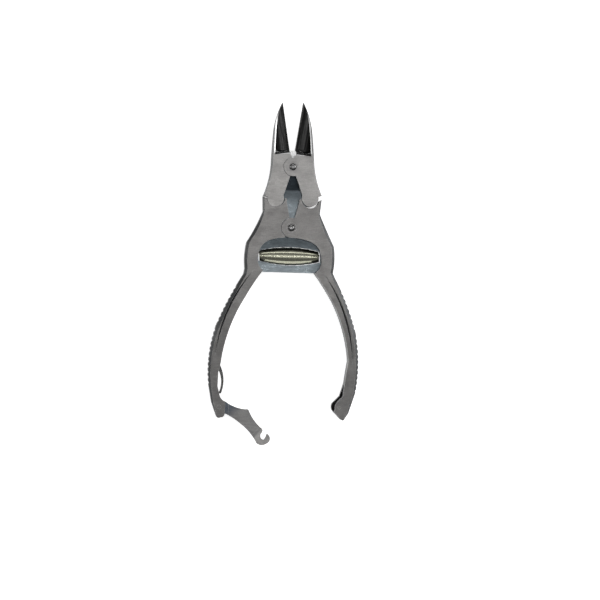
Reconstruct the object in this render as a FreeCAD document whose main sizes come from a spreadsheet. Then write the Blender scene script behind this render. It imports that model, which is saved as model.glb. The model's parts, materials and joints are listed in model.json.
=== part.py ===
"""Compound-action nail nipper: two jaws and two handles on a flat centre plate.

All lengths are millimetres.  The tool lies on its back face: +Z is up through its
thickness, +Y points to the jaw tips and +X to the right-hand handle.  The origin is
the middle of the footprint, on the face that the tool rests on.

Each jaw is drawn about the jaw pin and each handle about the handle pin, in the
half-open pose that is the same on both sides.  A Placement then turns each one
into the pose that it rests in.  side is +1 on the right and -1 on the left.
"""
import FreeCAD, Part
import math
import os
import Sketcher
from FreeCAD import Placement, Rotation, Vector

doc = FreeCAD.newDocument("NailNipper")

SIZES = {
    "thickness": (8.0, "thickness of jaws and handles"),
    "slot_width": (2.10, "slot in jaws and handles for the centre plate"),
    "plate_thick": (2.00, "thickness of the centre plate"),
    "pin_spacing": (26.35, "jaw pin to handle pin"),
    "pin_radius": (1.50, "both pivot pins"),
    "bore_radius": (1.55, "running bore for the pins"),
    "sink_radius": (2.15, "countersink round each pin head"),
    "sink_depth": (0.60, "depth of that countersink"),
    "pin_recess": (0.10, "pin head below the face"),
    "jaw_disc": (4.00, "half-lap disc of a jaw"),
    "handle_disc": (4.30, "half-lap disc of a handle"),
    "lap_gap": (0.20, "radial gap round a half-lap disc"),
    "lobe_radius": (3.60, "round tail of a jaw"),
    "socket_gap_left": (0.45, "gap between tail and socket, left"),
    "socket_gap_right": (0.25, "gap between tail and socket, right"),
    "nose_radius": (1.30, "nose of the centre plate"),
    "nose_sweep": (7.80, "slot radius round the jaw pin that clears the nose"),
    "fork_width": (2.50, "saw cut in both handle ends"),
    "lever_thick": (2.20, "thickness of the lock lever at its eye and hook"),
    "lever_bar": (3.00, "thickness of its bar between them"),
    "lock_pin_radius": (0.90, "pivot of the lock lever"),
    "lock_bore_radius": (0.95, "its running bore in the lever"),
    "catch_radius": (0.60, "catch pin in the right handle"),
    "leaf_thick": (1.10, "lock spring strip"),
    "leaf_width": (2.20, "lock spring strip across the handle"),
    "grip_pitch": (2.30, "spacing of the grip grooves"),
    "grip_radius": (0.75, "radius of a grip groove"),
    "grip_depth": (0.30, "depth of a grip groove"),
    "rim_bevel": (0.40, "polished bevel round the blade hollow"),
    "hollow_corner": (1.30, "corner radius of the blade hollow"),
    "arm_groove": (0.45, "depth of the line ground along each handle"),
    "spring_length": (26.3, "barrel spring between the handles"),
    "spring_middle": (3.85, "barrel spring radius at its middle"),
    "spring_end": (2.05, "barrel spring radius at its ends"),
    "origin_x": (1.92, "handle pin from the middle of the footprint"),
    "origin_y": (19.92, "handle pin from the middle of the footprint"),
    "jaw_lean": (1.2, "degrees both jaws lean to the left at rest"),
    "handle_lean": (-1.8, "degrees both handles lean at rest"),
}

sheet = doc.addObject("Spreadsheet::Sheet", "Sizes")
for row, (alias, (value, meaning)) in enumerate(SIZES.items(), start=1):
    sheet.set(f"A{row}", meaning)
    sheet.set(f"B{row}", str(value))
    sheet.setAlias(f"B{row}", alias)
doc.recompute()

MIRROR = {1: "right", -1: "left"}
JAW_OPENING = 8.9       # degrees from half-open to shut, each jaw
BLADE_SPAN = (3.5, 30)  # grinding wheel from behind the blade's root to past its tip
FAR = 30                # well outside any blade
CUT_GAP = 0.04          # each cutting edge stops this far from the centre line
LOBE = (7.5, -13.6)     # middle of a jaw's round tail, from the jaw pin
NOSE = (0.35, 6.03)     # middle of the notch for the plate's nose, from the jaw pin
LOCK_PIVOT = (26.87, -78.95)
CATCH = (25.20, -76.50)
HOLLOW_ROOT = {1: 5.7, -1: 6.5}     # where each blade's hollow ends, from the jaw pin
# Outer side of a jaw from its tip to its tail: a start, then (through, end) arcs
JAW_SIDE = [(4.6, 28.05), ((7.05, 22.0), (8.4, 15.75)), ((9.05, 8.0), (9.4, 1.6)),
            ((10.4, -5.2), (12.75, -12.3))]


def size(alias):
    """Value of a named cell of the sheet."""
    return float(sheet.get(alias))


def new_body(name):
    """Empty body whose name is also its file's name."""
    body = doc.addObject("PartDesign::Body", name)
    body.Label = name
    return body


def new_sketch(body, name, role="XY_Plane", offset=None):
    """Sketch on one of the body's own origin planes."""
    sketch = body.newObject("Sketcher::SketchObject", name)
    planes = {f.Role: f for f in body.Origin.OriginFeatures}
    sketch.AttachmentSupport = [(planes[role], "")]
    sketch.MapMode = "FlatFace"
    if offset:
        sketch.AttachmentOffset = offset
    return sketch


def add_outline(sketch, side, path):
    """Closed outline from a start point and steps.

    A step is a point for a straight edge, or a pair of points for an arc that
    goes through the first and ends at the second.
    """
    def place(point):
        return Vector(side * point[0], point[1], 0)

    here = place(path[0])
    for step in path[1:] + [path[0]]:
        if isinstance(step[0], tuple):
            middle, end = place(step[0]), place(step[1])
            sketch.addGeometry(Part.Arc(here, middle, end), False)
        else:
            end = place(step)
            if here.distanceToPoint(end) > 1e-6:
                sketch.addGeometry(Part.LineSegment(here, end), False)
        here = end


def add_circle(sketch, x, y, radius, bound=None):
    """Circle, with its radius bound to a formula of the sheet's cells."""
    circle = Part.Circle(Vector(x, y, 0), Vector(0, 0, 1), radius)
    index = sketch.addGeometry(circle, False)
    if bound:
        number = sketch.addConstraint(Sketcher.Constraint("Radius", index, radius))
        sketch.setExpression(f"Constraints[{number}]", bound)


def outline_sketch(body, name, side, path):
    """Sketch on the mid-plane that holds one outline."""
    sketch = new_sketch(body, name)
    add_outline(sketch, side, path)
    return sketch


def pad_both(body, name, sketch, bound):
    """Pad by half of a sheet length to each side of the mid-plane."""
    pad = body.newObject("PartDesign::Pad", name)
    pad.Profile = sketch
    pad.SideType = "Symmetric"
    pad.setExpression("Length", bound)
    doc.recompute()
    return pad


def cut_both(body, name, sketch, bound):
    """Pocket by half of a sheet length to each side of the mid-plane."""
    before = body.Shape.Volume
    cut = body.newObject("PartDesign::Pocket", name)
    cut.Profile = sketch
    cut.SideType = "Symmetric"
    cut.setExpression("Length", bound)
    doc.recompute()
    assert body.Shape.Volume < before - 1e-3, f"{name} cut nothing"
    return cut


def cut_layer(body, name, sketch, facing):
    """Pocket from the mid-plane to the front (facing +1) or back (-1) face."""
    before = body.Shape.Volume
    cut = body.newObject("PartDesign::Pocket", name)
    cut.Profile = sketch
    cut.setExpression("Length", "Sizes.thickness")
    cut.Reversed = facing > 0
    doc.recompute()
    assert body.Shape.Volume < before - 1e-3, f"{name} cut nothing"
    return cut


def set_down(body, x_bound, y_bound, turn_bound=None):
    """Place a body's mid-plane at half thickness, with its pivot where it belongs."""
    body.Placement = Placement(Vector(0, 0, 0), Rotation(Vector(0, 0, 1), 1))
    body.setExpression("Placement.Base.x", x_bound)
    body.setExpression("Placement.Base.y", y_bound)
    body.setExpression("Placement.Base.z", "Sizes.thickness / 2")
    body.setExpression("Placement.Rotation.Angle", turn_bound or "0 deg")


def pivot_hole(body, face):
    """Running bore and countersink for a pin in the half-lap disc on one face."""
    bore = new_sketch(body, "pin_bore")
    add_circle(bore, 0, 0, size("bore_radius"), "Sizes.bore_radius")
    cut_both(body, "pin_bore_cut", bore, "Sizes.thickness")
    sink = new_sketch(body, "countersink", offset=Placement(
        Vector(0, 0, face * (size("thickness") / 2 - size("sink_depth"))), Rotation()))
    add_circle(sink, 0, 0, size("sink_radius"), "Sizes.sink_radius")
    cut_layer(body, "countersink_cut", sink, face)


def points_of(step):
    """Points of one step of an outline: a straight line has one, an arc has two."""
    return step if isinstance(step[0], tuple) else (step,)


def shifted(path, widths, share, out=0.0):
    """Path with each point moved in by a share of its width and out by a little."""
    moved = []
    widths = iter(widths)
    for step in path:
        points = tuple((x - share * next(widths) + out, y) for x, y in points_of(step))
        moved.append(points if len(points) > 1 else points[0])
    return moved


def bevel_side(body, side, path, widths, depth):
    """Wide bevel along the outer side, on both faces; its width changes on the way."""
    half = size("thickness") / 2
    points = [point for step in path for point in points_of(step)]
    far = 1 + max(x for x, _ in points)
    outside = [(far, points[-1][1]), (far, points[0][1])]
    for facing, word in ((1, "front"), (-1, "back")):
        sketches = []
        for share, out, height in ((1, 0, half), (0, 0.02, half - depth)):
            sketch = new_sketch(body, f"side_{word}", offset=Placement(
                Vector(0, 0, facing * height), Rotation()))
            add_outline(sketch, side, shifted(path, widths, share, out) + outside)
            sketches.append(sketch)
        before = body.Shape.Volume
        loft = body.newObject("PartDesign::SubtractiveLoft", f"side_{word}_cut")
        loft.Profile = sketches[0]
        loft.Sections = [sketches[1]]
        loft.Ruled = True
        doc.recompute()
        assert body.Shape.Volume < before - 1e-3, f"{loft.Name} cut nothing"


def jaw_outline():
    """Right jaw about the jaw pin: cutting edge, outer side, round tail, disc."""
    disc = size("jaw_disc")
    slope = math.tan(math.radians(JAW_OPENING))
    edge_start = 3.95
    lobe = size("lobe_radius")
    tip_x, tip_y = JAW_SIDE[0]
    return [
        (CUT_GAP + slope * edge_start, edge_start),
        (CUT_GAP + slope * tip_y, tip_y),
        (tip_x, tip_y)] + JAW_SIDE[1:] + [
        (LOBE[0] + lobe * math.cos(math.radians(12)),
         LOBE[1] + lobe * math.sin(math.radians(12))),
        ((LOBE[0], LOBE[1] - lobe),
         (LOBE[0] - lobe * math.cos(math.radians(20)),
          LOBE[1] + lobe * math.sin(math.radians(20)))),
        (1.2, -math.sqrt(disc ** 2 - 1.2 ** 2)),
        ((-disc, 0),
         (CUT_GAP + slope * edge_start, edge_start)),
    ]


def blade_side_cut(body):
    """Thin both faces towards the blade tip."""
    base, tip, tip_height = 7.0, 30.0, 1.0
    half = size("thickness") / 2
    for face, word in ((1, "front"), (-1, "back")):
        sketch = new_sketch(body, f"taper_{word}", "YZ_Plane")
        corners = [(base, half), (tip, tip_height), (tip, half + 1), (base, half + 1)]
        add_outline(sketch, 1, [(y, face * z) for y, z in corners])
        cut = body.newObject("PartDesign::Pocket", sketch.Name + "_cut")
        cut.Profile = sketch
        cut.SideType = "Symmetric"
        cut.Length = 60
        doc.recompute()


def along_edge(side, lift=0.0):
    """Offset that turns the YZ plane to hold the cutting edge, lifted by lift."""
    turn = Rotation(Vector(0, 1, 0), -side * JAW_OPENING)
    return Placement(Vector(0, lift, 0), turn)


def ground_space(side, name, axis_height, profile, wall, corner_bound):
    """Space ground out of a blade by a wheel whose axis runs above the cutting edge.

    profile is the wheel's outline from tip to root, below that axis.  The space ends
    at a wall across the root, from its low to its high point in the YZ plane, and the
    corner between the two is rounded.
    """
    tool = new_body(MIRROR[side] + "_" + name)
    wheel = new_sketch(tool, name + "_wheel", "YZ_Plane", along_edge(side, axis_height))
    add_outline(wheel, 1, [(BLADE_SPAN[0], 0), (BLADE_SPAN[1], 0)] + profile)
    turn = tool.newObject("PartDesign::Revolution", name + "_turned")
    turn.Profile = wheel
    turn.ReferenceAxis = (wheel, ["H_Axis"])
    turn.Angle = 360
    doc.recompute()
    low, high = wall
    behind = new_sketch(tool, name + "_wall", "YZ_Plane")
    add_outline(behind, 1, [low, high, (-FAR, high[1]), (-FAR, -FAR), (low[0], -FAR)])
    root = cut_both(tool, name + "_wall_cut", behind, "Sizes.thickness * 8")
    edges = [number for number, edge in enumerate(tool.Shape.Edges, start=1)
             if in_wall(edge, low, high)]
    round_off = tool.newObject("PartDesign::Fillet", name + "_corner")
    round_off.Base = (root, [f"Edge{number}" for number in edges])
    round_off.setExpression("Radius", corner_bound)
    doc.recompute()
    return tool


def in_wall(edge, low, high):
    """True for a curved edge that lies in the wall from low to high."""
    if edge.Curve.TypeId == "Part::GeomLine":
        return False
    run, rise = high[0] - low[0], high[1] - low[1]
    span = edge.LastParameter - edge.FirstParameter
    points = [edge.valueAt(edge.FirstParameter + share * span) for share in (0.1, 0.5, 0.9)]
    return all(abs((point.y - low[0]) * rise - (point.z - low[1]) * run) < 1e-3
               for point in points)


def blade_hollow(body, side):
    """Hollow-grind the front of the blade, then bevel the rim with a flatter wheel."""
    root = HOLLOW_ROOT[side]
    start, end = BLADE_SPAN
    hollow = ground_space(side, "hollow", 5.6, [(end, -3.79), ((17.2, -5.58), (start, -7.44))],
                          [(root, -5.0), (root, 5.0)], "Sizes.hollow_corner")
    rim = ground_space(side, "rim", 12.7, [(end, -11.34), (start, -11.32)],
                       [(root, 3.45), (root - 3.8, 5.65)],
                       "Sizes.hollow_corner + Sizes.rim_bevel")
    for tool in (hollow, rim):
        before = body.Shape.Volume
        cut = body.newObject("PartDesign::Boolean", tool.Name + "_cut")
        cut.Type = "Cut"
        cut.setObjects([tool])
        doc.recompute()
        assert body.Shape.Volume < before - 1, f"{cut.Name} cut nothing"


def make_jaw(side):
    """Jaw with its half-lap disc on the front (right) or back (left)."""
    body = new_body(MIRROR[side] + "_jaw")
    pad_both(body, "blank", outline_sketch(body, "outline", side, jaw_outline()),
             "Sizes.thickness")
    bevel_side(body, side, JAW_SIDE, [0.5, 0.6, 0.65, 0.65, 0.65, 0.6, 0.45], 2.6)
    sweep = size("nose_sweep")
    shoulder = 7.0
    drop = -math.sqrt(sweep ** 2 - shoulder ** 2)
    slot = outline_sketch(body, "plate_slot", side, [
        (shoulder, drop), ((0, sweep), (-shoulder, drop)),
        (-shoulder, -18), (shoulder, -18)])
    cut_both(body, "plate_slot_cut", slot, "Sizes.slot_width")
    lap = new_sketch(body, "lap")
    add_circle(lap, 0, 0, size("jaw_disc") + size("lap_gap"), "Sizes.jaw_disc + Sizes.lap_gap")
    cut_layer(body, "lap_cut", lap, -side)
    notch = new_sketch(body, "nose_notch")
    add_circle(notch, *NOSE, size("nose_radius") + 0.2, "Sizes.nose_radius + 0.2")
    cut_both(body, "nose_notch_cut", notch, "Sizes.thickness")
    pivot_hole(body, side)
    blade_side_cut(body)
    set_down(body, "Sizes.origin_x", "Sizes.origin_y + Sizes.pin_spacing", "Sizes.jaw_lean")
    blade_hollow(body, side)
    return body


def socket_middle():
    """Middle of a tail socket, from the handle pin."""
    return LOBE[0], LOBE[1] + size("pin_spacing")


def handle_side(side):
    """Outer side of a handle from its horn to the end of its grip, with the width of
    the bevel at each point.  The left arm is forged a little closer than the right."""
    bow = side * 0.45
    horn = 0.0 if side > 0 else 0.6
    path = [
        (12.45 + horn, 12.95), ((12.2 + horn, 9.4), (12.0 + horn, 6.5)),
        ((15.4, -0.4), (18.9, -7.1)),
        ((19.5, -12.3), (19.1, -18.6)), (19.9 + bow, -21.0),
        ((25.75 + bow, -32.2), (30.3 + bow / 2, -43.8)), ((32.45, -57.5), (31.9, -69.5))]
    widths = [0.6, 0.6, 0.65, 1.3, 1.25, 1.2, 1.2, 1.25, 1.7, 1.6, 1.2, 1.0]
    end = [(29.3, -78.7), (27.6, -81.6)] if side > 0 else [(30.15, -77.2), (27.9, -82.8)]
    return path, path + end, widths + [0.8, 0.3]


def handle_outline(side):
    """Handle about the handle pin: horns, window, grip and end."""
    x, y = socket_middle()
    r = size("lobe_radius") + size("socket_gap_" + MIRROR[side])
    disc = size("handle_disc")
    bow = side * 0.7

    def rim(angle):
        return x + r * math.cos(math.radians(angle)), y + r * math.sin(math.radians(angle))

    right_end = [((26.9, -81.95), (26.2, -81.6)), (22.96, -78.5),
                 ((22.1, -76.7), (22.4, -74.87)), (25.4, -71.6), (26.9, -66.0), (28.0, -56.0)]
    left_end = [((27.0, -83.65), (26.0, -83.4)), ((24.6, -82.8), (24.25, -81.6)),
                (24.25, -76.8), (26.5, -75.1), (28.0, -70.0), (28.0, -64.0), (27.2, -60.0)]
    return [rim(-8)] + handle_side(side)[1] + (right_end if side > 0 else left_end) + [
        ((24.6 + bow, -43.7), (18.9 + bow, -30.8)), ((15.4 + bow / 2, -25.0), (11.3, -19.1)),
        ((13.3, -16.6), (13.7, -12.9)), ((12.2, -8.2), (9.4, -5.9)),
        ((5.2, -4.65), (0.2, -math.sqrt(disc ** 2 - 0.2 ** 2))),
        ((-disc, 0), (1.15, math.sqrt(disc ** 2 - 1.15 ** 2))),
        (2.75, 11.4), ((3.05, 12.45), rim(181)), (rim(-90), rim(-8)),
    ]


def arc_points(start, through, end, pitch):
    """Points spaced by pitch along an arc, with the direction out of the arc."""
    arc = Part.Arc(*[Vector(*p, 0) for p in (start, through, end)])
    edge = arc.toShape()
    middle = edge.Curve.Center
    for number in range(1, int(edge.Length / pitch) + 1):
        point = edge.valueAt(edge.getParameterByLength(number * pitch))
        yield point, (point - middle).normalize()


def grip_grooves(body, side):
    """Row of shallow scallops along the outer edge of the grip."""
    sketch = new_sketch(body, "grip")
    out = size("grip_radius") - size("grip_depth")
    grip_top = -27
    path = handle_side(side)[0][-3:]
    for start, arc in zip(path, path[1:]):
        start = start[-1] if isinstance(start[0], tuple) else start
        for point, away in arc_points(start, *arc, size("grip_pitch")):
            if point.y < grip_top:
                centre = point + away * out
                add_circle(sketch, side * centre.x, centre.y, size("grip_radius"))
    cut_both(body, "grip_cut", sketch, "Sizes.thickness")


def arm_line(body, side):
    """Shallow V ground along the arm, front and back, which runs out at both ends.

    It is turned about a line through the middle of its own arc, which leans away
    from the arm, so that the V is deepest halfway.
    """
    ends = [Vector(side * x, y, 0) for x, y in ((16.4, -20.5), (25.4, -37.0), (30.0, -60.0))]
    arc = Part.Arc(*ends).toShape()
    centre, radius = arc.Curve.Center, arc.Curve.Radius
    toward = math.degrees(math.atan2(ends[1].y - centre.y, ends[1].x - centre.x))
    half_sweep = math.degrees(arc.Length / radius) / 2
    rise = radius * (1 - math.cos(math.radians(half_sweep)))
    depth, width, spare = size("arm_groove"), 0.6, 0.2
    half = size("thickness") / 2
    corners = [(radius, half - depth), (radius + width, half + spare),
               (radius - width, half + spare)]
    for facing, word in ((1, "front"), (-1, "back")):
        lean = -facing * math.asin(depth / rise)
        turn = Rotation(Vector(0, 1, 0), toward) * Rotation(Vector(0, 0, 1), math.degrees(lean))
        sketch = new_sketch(body, f"arm_line_{word}", "XZ_Plane",
                            Placement(Vector(centre.x, 0, -centre.y), turn))
        add_outline(sketch, 1, [
            (x * math.cos(lean) + facing * z * math.sin(lean),
             facing * z * math.cos(lean) - x * math.sin(lean)) for x, z in corners])
        before = body.Shape.Volume
        cut = body.newObject("PartDesign::Groove", sketch.Name + "_cut")
        cut.Profile = sketch
        cut.ReferenceAxis = (sketch, ["V_Axis"])
        cut.Midplane = True
        cut.Angle = 2 * half_sweep + 8
        doc.recompute()
        assert body.Shape.Volume < before - 1e-3, f"{cut.Name} cut nothing"


def make_handle(side):
    """Handle with its half-lap disc on the front (right) or back (left)."""
    body = new_body(MIRROR[side] + "_handle")
    pad_both(body, "blank", outline_sketch(body, "outline", side, handle_outline(side)),
             "Sizes.thickness")
    _, path, widths = handle_side(side)
    bevel_side(body, side, path, widths, 1.1)
    arm_line(body, side)
    slot = outline_sketch(body, "plate_slot", side, [
        (-7, 16.5), (6.95, 16.5), (6.95, 6.0), (7.4, 4.2), (10.6, 3.5), (13.4, 0.6),
        (18.0, -6.6),
        (18.1, -12.2), (16.5, -17.4), (13.8, -20.8), (-7, -20.8)])
    cut_both(body, "plate_slot_cut", slot, "Sizes.slot_width")
    radius = size("handle_disc") + size("lap_gap")
    blunt = 2.6
    lap = outline_sketch(body, "lap", side, [
        (blunt, -math.sqrt(radius ** 2 - blunt ** 2)), ((0, radius), (-blunt, -3.56)),
        (-blunt, -5.6), (blunt, -5.6)])
    cut_layer(body, "lap_cut", lap, -side)
    pivot_hole(body, side)
    top = -69.6 if side > 0 else -72.6
    fork = outline_sketch(body, "fork", side, [(20, top), (36, top), (36, -88), (20, -88)])
    cut_both(body, "fork_cut", fork, "Sizes.fork_width")
    if side > 0:
        cheek = outline_sketch(body, "cheek", side, [
            (26.9, -66.5), (26.4, -71.75), (24.3, -73.9), (23.35, -75.6), (23.3, -77.6),
            (22.9, -78.6), (20, -78.6), (20, -66.5)])
        cut_layer(body, "cheek_cut", cheek, 1)
    grip_grooves(body, side)
    pin = new_sketch(body, "end_pin")
    place = CATCH if side > 0 else LOCK_PIVOT
    alias = "catch_radius" if side > 0 else "lock_pin_radius"
    add_circle(pin, side * place[0], place[1], size(alias), "Sizes." + alias)
    cut_both(body, "end_pin_cut", pin, "Sizes.thickness")
    set_down(body, "Sizes.origin_x", "Sizes.origin_y", "Sizes.handle_lean")
    return body


def make_plate():
    """Flat centre plate that carries both pins and cages the barrel spring."""
    body = new_body("centre_plate")
    spacing = size("pin_spacing")
    nose = size("nose_radius")
    top = spacing + 7.4 - nose
    right = [(nose, top), (nose, spacing + 5.3), (4.6, spacing + 2.6), (5.4, spacing - 1.5),
             (6.3, spacing - 6.0), (6.3, 3.2), (12.3, -3.0), (14.6, -6.5), (15.4, -9.5),
             (15.4, -13.2), (12.6, -19.4)]
    left = [(-x, y) for x, y in reversed(right)]
    sketch = outline_sketch(body, "outline", 1,
                            right + left + [((0, top + nose), right[0])])
    pad_both(body, "blank", sketch, "Sizes.plate_thick")
    holes = new_sketch(body, "pin_holes")
    add_circle(holes, 0, 0, size("pin_radius"), "Sizes.pin_radius")
    add_circle(holes, 0, spacing, size("pin_radius"), "Sizes.pin_radius")
    cut_both(body, "pin_holes_cut", holes, "Sizes.thickness")
    level = -12.3
    cage = outline_sketch(body, "spring_cage", 1, [
        (-13.8, level - 2.1), ((0, level - 3.97), (13.0, level - 2.2)),
        (13.0, level + 2.2), ((0, level + 3.97), (-13.8, level + 2.1))])
    cut_both(body, "spring_cage_cut", cage, "Sizes.thickness")
    set_down(body, "Sizes.origin_x", "Sizes.origin_y")
    return body


def make_pin(name, y_bound):
    """Pivot pin with a domed head at each face."""
    body = new_body(name)
    half = size("thickness") / 2 - size("pin_recess")
    dome = 0.55
    r = size("pin_radius")
    sketch = new_sketch(body, "profile", "XZ_Plane")
    flat = 0.25
    add_outline(sketch, 1, [
        (0, -half), (flat, -half), ((r * 0.68, -half + dome * 0.3), (r, -half + dome)),
        (r, half - dome), ((r * 0.68, half - dome * 0.3), (flat, half)), (0, half)])
    turn = body.newObject("PartDesign::Revolution", "turned")
    turn.Profile = sketch
    turn.ReferenceAxis = (sketch, ["V_Axis"])
    turn.Angle = 360
    doc.recompute()
    set_down(body, "Sizes.origin_x", y_bound)
    return body


def on_handle(point, side):
    """A point fixed to a handle, as it lies at rest."""
    angle = math.radians(size("handle_lean"))
    x, y = side * point[0], point[1]
    return (size("origin_x") + x * math.cos(angle) - y * math.sin(angle),
            size("origin_y") + x * math.sin(angle) + y * math.cos(angle))


def make_end_pin(name, point, side, alias):
    """Plain pin across a forked handle end, flush with both faces."""
    pin = doc.addObject("Part::Cylinder", name)
    pin.Label = name
    pin.setExpression("Radius", "Sizes." + alias)
    pin.setExpression("Height", "Sizes.thickness - 0.1")
    x, y = on_handle(point, side)
    pin.Placement = Placement(Vector(x, y, 0.05), Rotation())
    return pin


def thin_end(body, name, corners):
    """Grind one end of the lever down to the eye's thickness, on both faces."""
    for facing, word in ((1, "front"), (-1, "back")):
        sketch = new_sketch(body, f"{name}_{word}", offset=Placement(
            Vector(0, 0, facing * size("lever_thick") / 2), Rotation()))
        add_outline(sketch, 1, corners)
        cut_layer(body, sketch.Name + "_cut", sketch, facing)


def make_lever():
    """Lock lever, drawn about its pivot: eye, tail, bar and hook."""
    body = new_body("lock_lever")
    path = [
        (0.15, 4.9), ((1.15, 3.3), (2.9, 2.3)), ((6.9, 0.3), (12.1, -0.55)),
        ((12.8, -0.6), (13.2, -1.15)), ((15.45, -4.8), (18.85, -8.2)),
        ((19.55, -9.2), (19.2, -10.3)),
        ((19.1, -12.6), (20.4, -13.25)), (21.25, -11.6), ((21.75, -10.75), (22.35, -11.15)),
        ((22.95, -13.1), (21.6, -14.9)), ((19.4, -15.65), (17.3, -14.95)),
        ((14.4, -10.9), (9.9, -6.95)), ((6.1, -4.4), (1.9, -2.5)),
        ((-2.25, -0.9), (-1.7, 1.55)), (-0.55, 4.7), ((-0.2, 5.0), (0.15, 4.9))]
    pad_both(body, "blank", outline_sketch(body, "outline", 1, path), "Sizes.lever_bar")
    thin_end(body, "eye_end", [(-6, 8), (4.0, 8), (4.4, -8), (-6, -8)])
    thin_end(body, "hook_end", [(12.7, -14.1), (20.8, -4.9), (26, -6), (26, -18), (12.7, -18)])
    bore = new_sketch(body, "bore")
    add_circle(bore, 0, 0, size("lock_bore_radius"), "Sizes.lock_bore_radius")
    cut_both(body, "bore_cut", bore, "Sizes.thickness")
    x, y = on_handle(LOCK_PIVOT, -1)
    set_down(body, f"{x:.4f} mm", f"{y:.4f} mm", "Sizes.handle_lean")
    return body


def make_leaf():
    """Bowed strip that presses on the lever's tail; its top end sits in the handle."""
    body = new_body("lock_spring")
    t = size("leaf_thick")
    path = [(-28.7, -61.8), ((-26.55, -66.8), (-27.3, -73.2)),
            (-27.3 + t, -73.2), ((-26.55 + t, -66.8), (-28.3 + t, -61.0))]
    pad_both(body, "blank", outline_sketch(body, "outline", 1, path), "Sizes.leaf_width")
    set_down(body, "Sizes.origin_x", "Sizes.origin_y", "Sizes.handle_lean")
    return body


def make_spring():
    """Outer form of the barrel spring, turned about its own axis."""
    body = new_body("barrel_spring")
    half = size("spring_length") / 2
    sketch = new_sketch(body, "profile")
    add_outline(sketch, 1, [
        (-half, 0), (-half, size("spring_end")),
        ((0, size("spring_middle")), (half, size("spring_end"))), (half, 0)])
    turn = body.newObject("PartDesign::Revolution", "turned")
    turn.Profile = sketch
    turn.ReferenceAxis = (sketch, ["H_Axis"])
    turn.Angle = 360
    doc.recompute()
    set_down(body, "Sizes.origin_x - 0.4", "Sizes.origin_y - 12.3")
    return body


def build():
    """Every piece of the tool."""
    pieces = [make_plate(), make_pin("jaw_pin", "Sizes.origin_y + Sizes.pin_spacing"),
              make_pin("handle_pin", "Sizes.origin_y"), make_spring()]
    for side in (1, -1):
        pieces += [make_jaw(side), make_handle(side)]
    pieces.append(make_end_pin("catch_pin", CATCH, 1, "catch_radius"))
    pieces.append(make_end_pin("lock_pin", LOCK_PIVOT, -1, "lock_pin_radius"))
    pieces += [make_lever(), make_leaf()]
    return pieces


def write(pieces):
    """Check the whole document, then write one file for each piece."""
    doc.recompute()
    for item in doc.Objects:
        bad = [s for s in item.State if s in ("Invalid", "Error")]
        assert not bad, f"{item.Name} is {bad}"
    os.makedirs("parts", exist_ok=True)
    for piece in pieces:
        assert not piece.Shape.isNull() and piece.Shape.isValid(), piece.Label
        piece.Shape.exportStep(f"parts/{piece.Label}.step")
        box = piece.Shape.BoundBox
        print(f"{piece.Label:14s} {piece.Shape.Volume:9.2f} mm3  solids {len(piece.Shape.Solids)}"
              f"  x {box.XMin:.2f}..{box.XMax:.2f}  y {box.YMin:.2f}..{box.YMax:.2f}"
              f"  z {box.ZMin:.2f}..{box.ZMax:.2f}")


write(build())
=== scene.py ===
"""Compound nail nipper lying on a pale table, seen from above and a little from the left."""
import bpy
import json
import math
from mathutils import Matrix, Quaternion, Vector


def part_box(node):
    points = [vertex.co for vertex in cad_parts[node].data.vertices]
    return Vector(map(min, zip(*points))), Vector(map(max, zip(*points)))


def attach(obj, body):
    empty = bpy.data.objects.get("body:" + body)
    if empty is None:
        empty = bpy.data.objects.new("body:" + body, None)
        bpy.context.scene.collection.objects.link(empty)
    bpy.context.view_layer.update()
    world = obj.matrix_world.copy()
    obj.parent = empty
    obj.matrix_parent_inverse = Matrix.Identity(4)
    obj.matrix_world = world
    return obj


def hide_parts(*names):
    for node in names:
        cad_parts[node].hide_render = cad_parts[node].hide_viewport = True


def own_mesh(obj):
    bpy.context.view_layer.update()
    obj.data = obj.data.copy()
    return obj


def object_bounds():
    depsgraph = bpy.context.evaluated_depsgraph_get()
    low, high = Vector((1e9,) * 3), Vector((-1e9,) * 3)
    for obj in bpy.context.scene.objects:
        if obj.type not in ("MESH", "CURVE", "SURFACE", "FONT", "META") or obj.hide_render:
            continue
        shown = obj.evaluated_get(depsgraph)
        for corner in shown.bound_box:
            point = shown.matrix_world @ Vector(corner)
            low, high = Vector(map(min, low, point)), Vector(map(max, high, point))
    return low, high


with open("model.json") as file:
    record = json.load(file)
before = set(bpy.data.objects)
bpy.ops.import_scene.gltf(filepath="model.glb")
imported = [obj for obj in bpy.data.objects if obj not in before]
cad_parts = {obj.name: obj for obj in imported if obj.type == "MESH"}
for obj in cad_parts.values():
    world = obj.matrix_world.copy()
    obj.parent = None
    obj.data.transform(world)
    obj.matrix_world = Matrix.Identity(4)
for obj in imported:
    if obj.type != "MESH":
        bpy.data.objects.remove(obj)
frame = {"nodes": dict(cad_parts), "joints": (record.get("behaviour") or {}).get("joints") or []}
cad_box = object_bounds()
nodes = frame["nodes"]

MM = 0.001
JOINTS = {j["name"]: j for j in frame["joints"]}
HANDLE_PIN = Vector(JOINTS["left_handle_turn"]["pos_m"])
JAW_PIN = Vector(JOINTS["left_jaw_turn"]["pos_m"])
LOCK_PIVOT = Vector(JOINTS["lock_lever_turn"]["pos_m"])
FRONT = cad_box[1][2]

# Ground blades, in degrees and millimetres; lengths run from the jaw pin along the blade,
# heights start at the back face, and side 1 is the right jaw, -1 the left
JAW_OPENING = 8.9
JAW_LEAN = 1.2
BLADE_START, BLADE_END = 3.5, 30.0
HOLLOW_ROOT = {1: 5.7, -1: 6.5}
HOLLOW_AXIS, RIM_AXIS = 9.6, 16.7
FRONT_HEIGHT = 7.985
EDGE_RADIUS = 0.16 * MM

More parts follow.
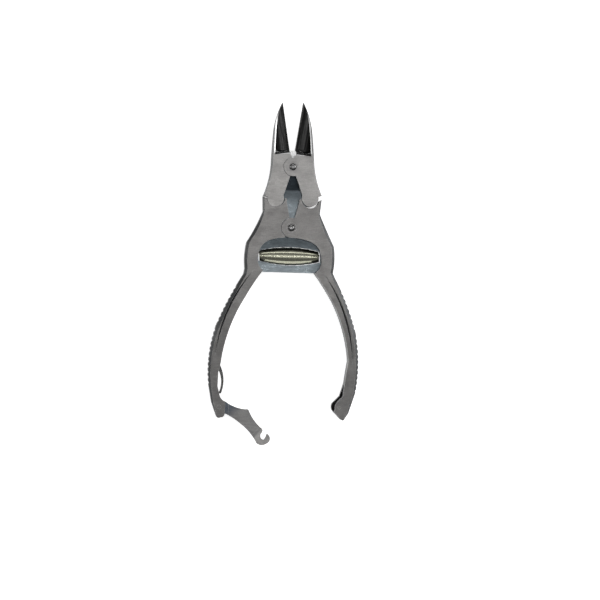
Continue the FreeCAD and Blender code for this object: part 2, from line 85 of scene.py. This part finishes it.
# Strip spring: where each turn's outer edge is, as a share of the half's length
TURN_EDGES = [0.04, 0.31, 0.60, 0.80, 0.93, 1.0]
SPRING_REACH = {1: 1.01, -1: 1.03}
SPRING_END_RADIUS = 2.16 * MM
STRIP_THICKNESS = 0.30 * MM
STRIP_TUCK = 0.14 * MM


# ---------------------------------------------------------------- materials
class Nodes:
    """Short calls for building one material's node tree."""

    def __init__(self, name):
        self.material = bpy.data.materials.new(name)
        self.material.use_nodes = True
        self.tree = self.material.node_tree
        self.tree.nodes.clear()
        out = self.tree.nodes.new("ShaderNodeOutputMaterial")
        self.shader = self.tree.nodes.new("ShaderNodeBsdfPrincipled")
        self.link(self.shader.outputs[0], out.inputs[0])
        self.coords = self.tree.nodes.new("ShaderNodeTexCoord").outputs["Object"]

    def link(self, a, b):
        """Join an output, or give a plain number or colour, to an input."""
        if isinstance(a, (int, float)):
            b.default_value = a
        elif isinstance(a, tuple):
            colour = len(a) == 3 and len(b.default_value) == 4
            b.default_value = (*a, 1.0) if colour else a
        else:
            self.tree.links.new(a, b)

    def math(self, how, a, b=0.0):
        node = self.tree.nodes.new("ShaderNodeMath")
        node.operation = how
        self.link(a, node.inputs[0])
        self.link(b, node.inputs[1])
        return node.outputs[0]

    def mapped(self, where, scale=(1.0, 1.0, 1.0), turn=0.0, shift=(0.0, 0.0, 0.0)):
        node = self.tree.nodes.new("ShaderNodeMapping")
        node.inputs["Scale"].default_value = scale
        node.inputs["Rotation"].default_value = (0, 0, turn)
        node.inputs["Location"].default_value = shift
        self.link(where, node.inputs["Vector"])
        return node.outputs[0]

    def parts(self, vector):
        node = self.tree.nodes.new("ShaderNodeSeparateXYZ")
        self.link(vector, node.inputs[0])
        return node.outputs

    def noise(self, where, scale=1.0, detail=3.0, rough=0.55):
        node = self.tree.nodes.new("ShaderNodeTexNoise")
        node.inputs["Scale"].default_value = scale
        node.inputs["Detail"].default_value = detail
        node.inputs["Roughness"].default_value = rough
        self.link(where, node.inputs["Vector"])
        return node.outputs["Fac"]

    def band(self, value, low, high, start=0.0, end=1.0):
        """Value mapped from low..high to start..end, with soft ends."""
        node = self.tree.nodes.new("ShaderNodeMapRange")
        node.interpolation_type = "SMOOTHSTEP"
        self.link(value, node.inputs["Value"])
        for socket, number in (("From Min", low), ("From Max", high),
                               ("To Min", start), ("To Max", end)):
            self.link(number, node.inputs[socket])
        return node.outputs["Result"]

    def mix(self, factor, a, b, blend="MIX"):
        node = self.tree.nodes.new("ShaderNodeMix")
        node.data_type = "RGBA"
        node.blend_type = blend
        self.link(factor, node.inputs[0])
        self.link(a, node.inputs[6])
        self.link(b, node.inputs[7])
        return node.outputs[2]

    def bump(self, height, strength, distance, normal=None):
        node = self.tree.nodes.new("ShaderNodeBump")
        node.inputs["Strength"].default_value = strength
        node.inputs["Distance"].default_value = distance
        self.link(height, node.inputs["Height"])
        if normal:
            self.link(normal, node.inputs["Normal"])
        return node.outputs["Normal"]

    def facing(self):
        """1 on the flat front and back faces, 0 on bevels and sides."""
        normal = self.tree.nodes.new("ShaderNodeNewGeometry").outputs["Normal"]
        return self.band(self.math("ABSOLUTE", self.parts(normal)[2]), 0.90, 0.985)

    def painted_edge_highlight(self):
        """Mask for a painted edge highlight: 1 where the surface turns a sharp corner close by.
        """
        bevel = self.tree.nodes.new("ShaderNodeBevel")
        bevel.samples = 6
        bevel.inputs["Radius"].default_value = EDGE_RADIUS
        dot = self.tree.nodes.new("ShaderNodeVectorMath")
        dot.operation = "DOT_PRODUCT"
        geometry = self.tree.nodes.new("ShaderNodeNewGeometry")
        self.link(bevel.outputs[0], dot.inputs[0])
        self.link(geometry.outputs["True Normal"], dot.inputs[1])
        return self.band(dot.outputs["Value"], 0.995, 0.90)


def grey(level, warm=0.0):
    """Grey of a given level, a little warmer or cooler."""
    return (level * (1 + warm), level, level * (1 - warm))


def steel_surface(n, tone, rough, grain, depth, edge_highlight_tone=None, pits=0.25):
    """Finish a metal: short brushed lines, clouds, specks, roughness and bump."""
    n.shader.inputs["Metallic"].default_value = 1.0
    lines = n.noise(n.mapped(n.coords, grain), detail=2.0)
    clouds = n.noise(n.coords, 140.0)
    specks = n.noise(n.coords, 2600.0, 2.0)
    for pattern, top, share, colour, blend in (
            (lines, 0.65, 0.20, (0.30, 0.30, 0.31), "OVERLAY"),
            (specks, 0.68, 0.32, (0.80, 0.79, 0.77), "SOFT_LIGHT"),
            (clouds, 0.70, 0.16, (0.35, 0.35, 0.36), "OVERLAY")):
        tone = n.mix(n.band(pattern, 0.35, top, 0.0, share), tone, colour, blend)
    # Painted highlight: sharp edges lightened towards the edge tone
    if edge_highlight_tone:
        tone = n.mix(n.math("MULTIPLY", n.painted_edge_highlight(), 0.75), tone, edge_highlight_tone)
    n.link(tone, n.shader.inputs["Base Color"])
    spread = n.math("ADD", n.band(lines, 0.3, 0.7, -0.05, 0.05),
                    n.band(clouds, 0.3, 0.7, -0.04, 0.05))
    n.link(n.math("ADD", spread, rough), n.shader.inputs["Roughness"])
    normal = n.bump(lines, 0.3, depth)
    n.link(n.bump(specks, pits, 0.012 * MM, normal), n.shader.inputs["Normal"])
    return n.material


def satin(name, levels, side_shade_level, warm=0.02):
    """Satin-ground steel, darker towards the grips (partly its own tone, partly painted shade),
    with painted shade on its bevels and sides.
    """
    n = Nodes(name)
    reach = n.math("SUBTRACT", n.parts(n.coords)[1], HANDLE_PIN.y)
    high, middle, low = levels
    # Darker towards the grips: partly the steel's own tone, partly painted shade
    tone = n.mix(n.band(reach, -52 * MM, -8 * MM), grey(low, warm), grey(middle, warm))
    tone = n.mix(n.band(reach, 4 * MM, 16 * MM), tone, grey(high, warm))
    # Painted shade: bevels and sides get a darker grey than the flat faces
    tone = n.mix(n.facing(), grey(side_shade_level, -0.02), tone)
    return n, tone


def handle_steel():
    n, tone = satin("handle_steel", (0.21, 0.185, 0.125), 0.06)
    z = n.parts(n.coords)[2]
    # Painted shade: flat faces sunk well below the front face and above the back face painted
    # near black
    recess_shade = n.math("MULTIPLY", n.facing(), n.band(z, FRONT - 1.2 * MM, FRONT - 0.9 * MM, 1.0, 0.0))
    above = n.band(z, 0.5 * MM, 0.7 * MM)
    tone = n.mix(n.math("MULTIPLY", recess_shade, above), tone, grey(0.012))
    return steel_surface(n, tone, 0.40, (420, 3600, 420), 0.02 * MM, grey(0.50))


def jaw_steel(side):
    """Jaw steel with the hollow painted dark as painted shade and the ground rim painted bright
    as a painted highlight, in the blade's own frame.
    """
    n, tone = satin("right_jaw_steel" if side > 0 else "left_jaw_steel",
                    (0.27, 0.27, 0.27), 0.08)
    turn = math.radians(side * JAW_OPENING - JAW_LEAN)
    shift = n.mapped(n.coords, shift=(-JAW_PIN.x, -JAW_PIN.y, 0))
    blade = n.mapped(shift, turn=turn)
    across, along, height = (n.math("MULTIPLY", part, 1000.0) for part in n.parts(blade))

    def both(a, b):
        return n.math("MULTIPLY", a, b)

    def past_wheel(axis, radius):
        """Distance outside a grinding wheel whose axis runs along the blade."""
        rise = n.math("SUBTRACT", axis, height)
        reach = n.math("SQRT", n.math("ADD", both(across, across), both(rise, rise)))
        return n.math("SUBTRACT", reach, radius)

    run = n.math("SUBTRACT", along, BLADE_START)
    left = n.math("SUBTRACT", BLADE_END, along)
    crown = both(both(run, left), 0.00015)
    hollow_wheel = n.math("ADD", n.math("SUBTRACT", 7.44, both(run, 0.1377)), crown)
    rim_wheel = n.math("ADD", 11.32, both(run, 0.00075))
    root = HOLLOW_ROOT[side]
    beyond_root = n.math("GREATER_THAN", along, root - 0.06)
    outside = past_wheel(HOLLOW_AXIS, hollow_wheel)
    hollow = both(n.math("LESS_THAN", outside, 0.05), beyond_root)
    on_rim = n.math("LESS_THAN", past_wheel(RIM_AXIS, rim_wheel), 0.05)
    on_blade = n.math("GREATER_THAN", along, root - 1.0)
    under_face = n.math("LESS_THAN", height, FRONT_HEIGHT)
    beside = n.math("MAXIMUM", n.math("LESS_THAN", outside, 0.36),
                    n.math("LESS_THAN", along, root))
    rim = both(both(on_rim, on_blade), both(under_face, beside))
    streaks = n.noise(n.mapped(blade, (1500, 50, 300)), detail=2.0)
    # Painted shade: the hollow painted near black, with lengthwise grinding streaks
    dark = n.mix(n.band(streaks, 0.35, 0.7), grey(0.010), grey(0.045))
    # Ground rim: a polished tone with a painted highlight, bright near the root and darker
    # towards the tip
    rim_polish_and_highlight = n.mix(n.band(along, 20.0, 26.0), grey(0.62), grey(0.10))
    tone = n.mix(rim, tone, rim_polish_and_highlight)
    tone = n.mix(hollow, tone, dark)
    shaded = both(beyond_root, n.math("LESS_THAN", along, 8.2))
    shaded = both(shaded, n.math("LESS_THAN", height, 6.5))
    shaded = both(shaded, n.math("GREATER_THAN", height, 0.6))
    shaded = both(shaded, n.math("LESS_THAN", n.math("ABSOLUTE", across), 6.4))
    tone = n.mix(shaded, tone, grey(0.02))
    return steel_surface(n, tone, 0.38, (420, 3600, 420), 0.02 * MM, grey(0.42))


def plate_steel():
    """Blue-grey plate with painted shade under the jaw discs, in the window between the pins and
    at the top of the window below the handle pin, and painted light on its nose.
    """
    n = Nodes("plate_blued")
    y = n.parts(n.coords)[1]
    from_jaw_pin = n.math("SUBTRACT", y, JAW_PIN.y)
    from_handle_pin = n.math("SUBTRACT", y, HANDLE_PIN.y)
    blue, shade_blue = (0.165, 0.190, 0.205), (0.016, 0.020, 0.024)
    # Painted shade: plate near black under the jaw discs, darkening towards them in the window
    # between the pins
    tone = n.mix(n.band(from_jaw_pin, -10.6 * MM, -9.6 * MM), blue, shade_blue)
    shade = n.band(from_jaw_pin, -18 * MM, -10.6 * MM, 0.0, 0.62)
    tone = n.mix(shade, tone, shade_blue)
    # Painted shade: the window below the handle pin darker towards its top
    window = n.band(from_handle_pin, -3.0 * MM, -2.0 * MM, 1.0, 0.0)
    tone = n.mix(window, tone, n.mix(n.band(from_handle_pin, -17 * MM, -6 * MM), blue,
                                     (0.062, 0.073, 0.080)))
    # Painted light: the nose painted bright
    tone = n.mix(n.band(from_jaw_pin, 3.0 * MM, 4.2 * MM), tone, grey(0.62))
    return steel_surface(n, tone, 0.34, (500, 1500, 500), 0.01 * MM, grey(0.6))


def lever_steel():
    """Lock lever: dark bar with a lighter ground hook, and painted shade on its sides."""
    n = Nodes("lever_steel")
    shift = n.mapped(n.coords, shift=(-LOCK_PIVOT.x, -LOCK_PIVOT.y, 0))
    reach = n.parts(n.mapped(shift, turn=math.radians(40)))[0]
    tone = n.mix(n.band(reach, 3 * MM, 9 * MM), (0.075, 0.085, 0.10), grey(0.165, 0.01))
    tone = n.mix(n.band(reach, 20.0 * MM, 20.6 * MM), tone, grey(0.24, 0.02))
    # Painted shade: sides darker than the flat faces
    tone = n.mix(n.facing(), grey(0.07), tone)
    return steel_surface(n, tone, 0.38, (300, 1500, 300), 0.015 * MM, grey(0.42))


def plain_steel(name, tone, rough, grain, edge=None):
    """Smooth steel of one tone."""
    n = Nodes(name)
    return steel_surface(n, tone, rough, grain, 0.004 * MM, edge, 0.04)


END_PIN = plain_steel("end_pin_steel", grey(0.13, 0.02), 0.35, (900, 900, 300))
FINISH = {
    "left_jaw": jaw_steel(-1), "right_jaw": jaw_steel(1),
    "left_handle": handle_steel(), "right_handle": handle_steel(),
    "centre_plate": plate_steel(),
    "lock_lever": lever_steel(),
    "lock_spring": plain_steel("lock_spring_steel", grey(0.05), 0.25,
                               (300, 300, 1500), grey(0.35)),
    "lock_pin": END_PIN, "catch_pin": END_PIN,
}
PIN = plain_steel("pin_polish", grey(0.20), 0.13, (700, 700, 700))
STRIP = plain_steel("spring_strip", (0.36, 0.36, 0.28), 0.15,
                    (1800, 160, 160), (0.55, 0.55, 0.46))
for name, obj in nodes.items():
    obj.data.materials.clear()
    obj.data.materials.append(FINISH.get(name, PIN))


# ---------------------------------------------------------------- barrel spring
def make_mesh(name, verts, faces, material):
    """Smooth-shaded mesh object with sharp edges kept."""
    mesh = bpy.data.meshes.new(name)
    mesh.from_pydata(verts, [], faces)
    mesh.shade_smooth()
    mesh.set_sharp_from_angle(angle=math.radians(35))
    mesh.materials.append(material)
    obj = bpy.data.objects.new(name, mesh)
    bpy.context.scene.collection.objects.link(obj)
    return obj


def make_spring_half(side):
    """Half of the barrel spring: one strip whose turns tuck under one another."""
    low, high = (Vector(corner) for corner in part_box("barrel_spring"))
    centre = (low + high) / 2
    reach = (high.x - low.x) / 2 * SPRING_REACH[side]
    middle_radius = (high.z - low.z) / 2 + 0.09 * MM
    across, around = 5, 56

    def edge_at(turns):
        turns = min(max(turns, 0.0), len(TURN_EDGES) - 1.001)
        step = int(turns)
        return TURN_EDGES[step] + (TURN_EDGES[step + 1] - TURN_EDGES[step]) * (turns - step)

    def barrel(share):
        swell = (middle_radius - SPRING_END_RADIUS) * (1 - share ** 2)
        return SPRING_END_RADIUS + swell - 0.02 * MM

    verts, faces = [], []
    total = (len(TURN_EDGES) - 1) * around
    for i in range(total + 1):
        turns = i / around
        outer = edge_at(turns)
        inner = max(edge_at(turns - 1) - 0.07, 0.0) if turns > 1 else 0.0
        angle = 2 * math.pi * turns * side + math.radians(-62)
        for layer in (0, 1):
            for j in range(across + 1):
                t = j / across if layer == 0 else 1 - j / across
                share = inner + (outer - inner) * t
                recess_shade = STRIP_TUCK * (1 - t) * min(turns, 1.0)
                radius = barrel(share) - recess_shade - layer * STRIP_THICKNESS
                verts.append((centre.x + side * share * reach,
                              centre.y + radius * math.cos(angle),
                              centre.z + radius * math.sin(angle)))
    ring = 2 * (across + 1)
    for i in range(total):
        for j in range(ring):
            a, b = i * ring + j, i * ring + (j + 1) % ring
            faces.append((a, b, b + ring, a + ring))
    faces.append(tuple(range(ring))[::-1])
    faces.append(tuple(range(total * ring, (total + 1) * ring)))
    word = "right" if side > 0 else "left"
    piece = make_mesh(word + "_spring_turns", verts, faces, STRIP)
    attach(piece, "centre")
    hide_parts("barrel_spring")
    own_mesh(piece)


# ---------------------------------------------------------------- camera and light
def make_camera():
    """Long lens above the front face, a little from the left and slightly rolled."""
    distance = 1.0
    view_width = 0.2592
    camera = bpy.data.objects.new("camera", bpy.data.cameras.new("camera"))
    bpy.context.scene.collection.objects.link(camera)
    camera.data.sensor_width = 36.0
    camera.data.lens = camera.data.sensor_width * distance / view_width
    roll = Quaternion((0, 0, 1), math.radians(1.5))
    turn = roll @ Quaternion((0, 1, 0), math.radians(-4.5))
    aim = Vector((HANDLE_PIN.x + 4.465 * MM, HANDLE_PIN.y - 31.08 * MM, FRONT))
    camera.location = aim + turn @ Vector((0, 0, distance))
    camera.rotation_euler = turn.to_euler()
    bpy.context.scene.camera = camera


def area_light(name, place, size, power):
    """Soft rectangular light that points at the tool."""
    light = bpy.data.lights.new(name, "AREA")
    light.shape = "RECTANGLE"
    light.size, light.size_y = size
    light.energy = power
    obj = bpy.data.objects.new(name, light)
    bpy.context.scene.collection.objects.link(obj)
    obj.location = place
    obj.rotation_euler = (-Vector(place)).to_track_quat("-Z", "Y").to_euler()


def make_floor():
    """Matt white table that glows evenly, like a light table."""
    mesh = bpy.data.meshes.new("table")
    half = 3.0
    level = -0.02 * MM
    corners = [(x * half, y * half, level) for x, y in ((-1, -1), (1, -1), (1, 1), (-1, 1))]
    mesh.from_pydata(corners, [], [(0, 1, 2, 3)])
    floor = bpy.data.objects.new("table", mesh)
    bpy.context.scene.collection.objects.link(floor)
    n = Nodes("table")
    n.shader.inputs["Roughness"].default_value = 0.9
    n.shader.inputs["Specular IOR Level"].default_value = 0.1
    n.shader.inputs["Emission Color"].default_value = (1, 1, 1, 1)
    n.shader.inputs["Emission Strength"].default_value = 0.75
    n.link(n.mix(n.noise(n.coords, 8.0), grey(0.88), grey(0.92)), n.shader.inputs["Base Color"])
    mesh.materials.append(n.material)


def make_world():
    """Even dim surroundings."""
    world = bpy.data.worlds.new("studio")
    world.use_nodes = True
    world.node_tree.nodes["Background"].inputs["Color"].default_value = (1, 1, 1, 1)
    world.node_tree.nodes["Background"].inputs["Strength"].default_value = 0.22
    bpy.context.scene.world = world


make_camera()
make_floor()
make_world()
for side in (-1, 1):
    make_spring_half(side)
for name, place, size, power in (
        ("overhead_softbox", (0.10, 0.0, 1.30), (0.95, 0.95), 1.9),
        ("strip_light", (0.10, 0.0, 1.28), (0.03, 1.6), 1.7),
        ("right_softbox", (0.90, 0.30, 0.42), (0.7, 0.9), 7.0),
        ("far_softbox", (0.0, 0.95, 0.75), (1.0, 0.35), 1.8),
        ("near_softbox", (0.1, -0.95, 0.20), (1.2, 0.35), 1.6),
        ("left_softbox", (-0.87, 0.15, 0.50), (0.35, 0.9), 2.2)):
    area_light(name, place, size, power)
bpy.context.scene.view_settings.view_transform = "Standard"
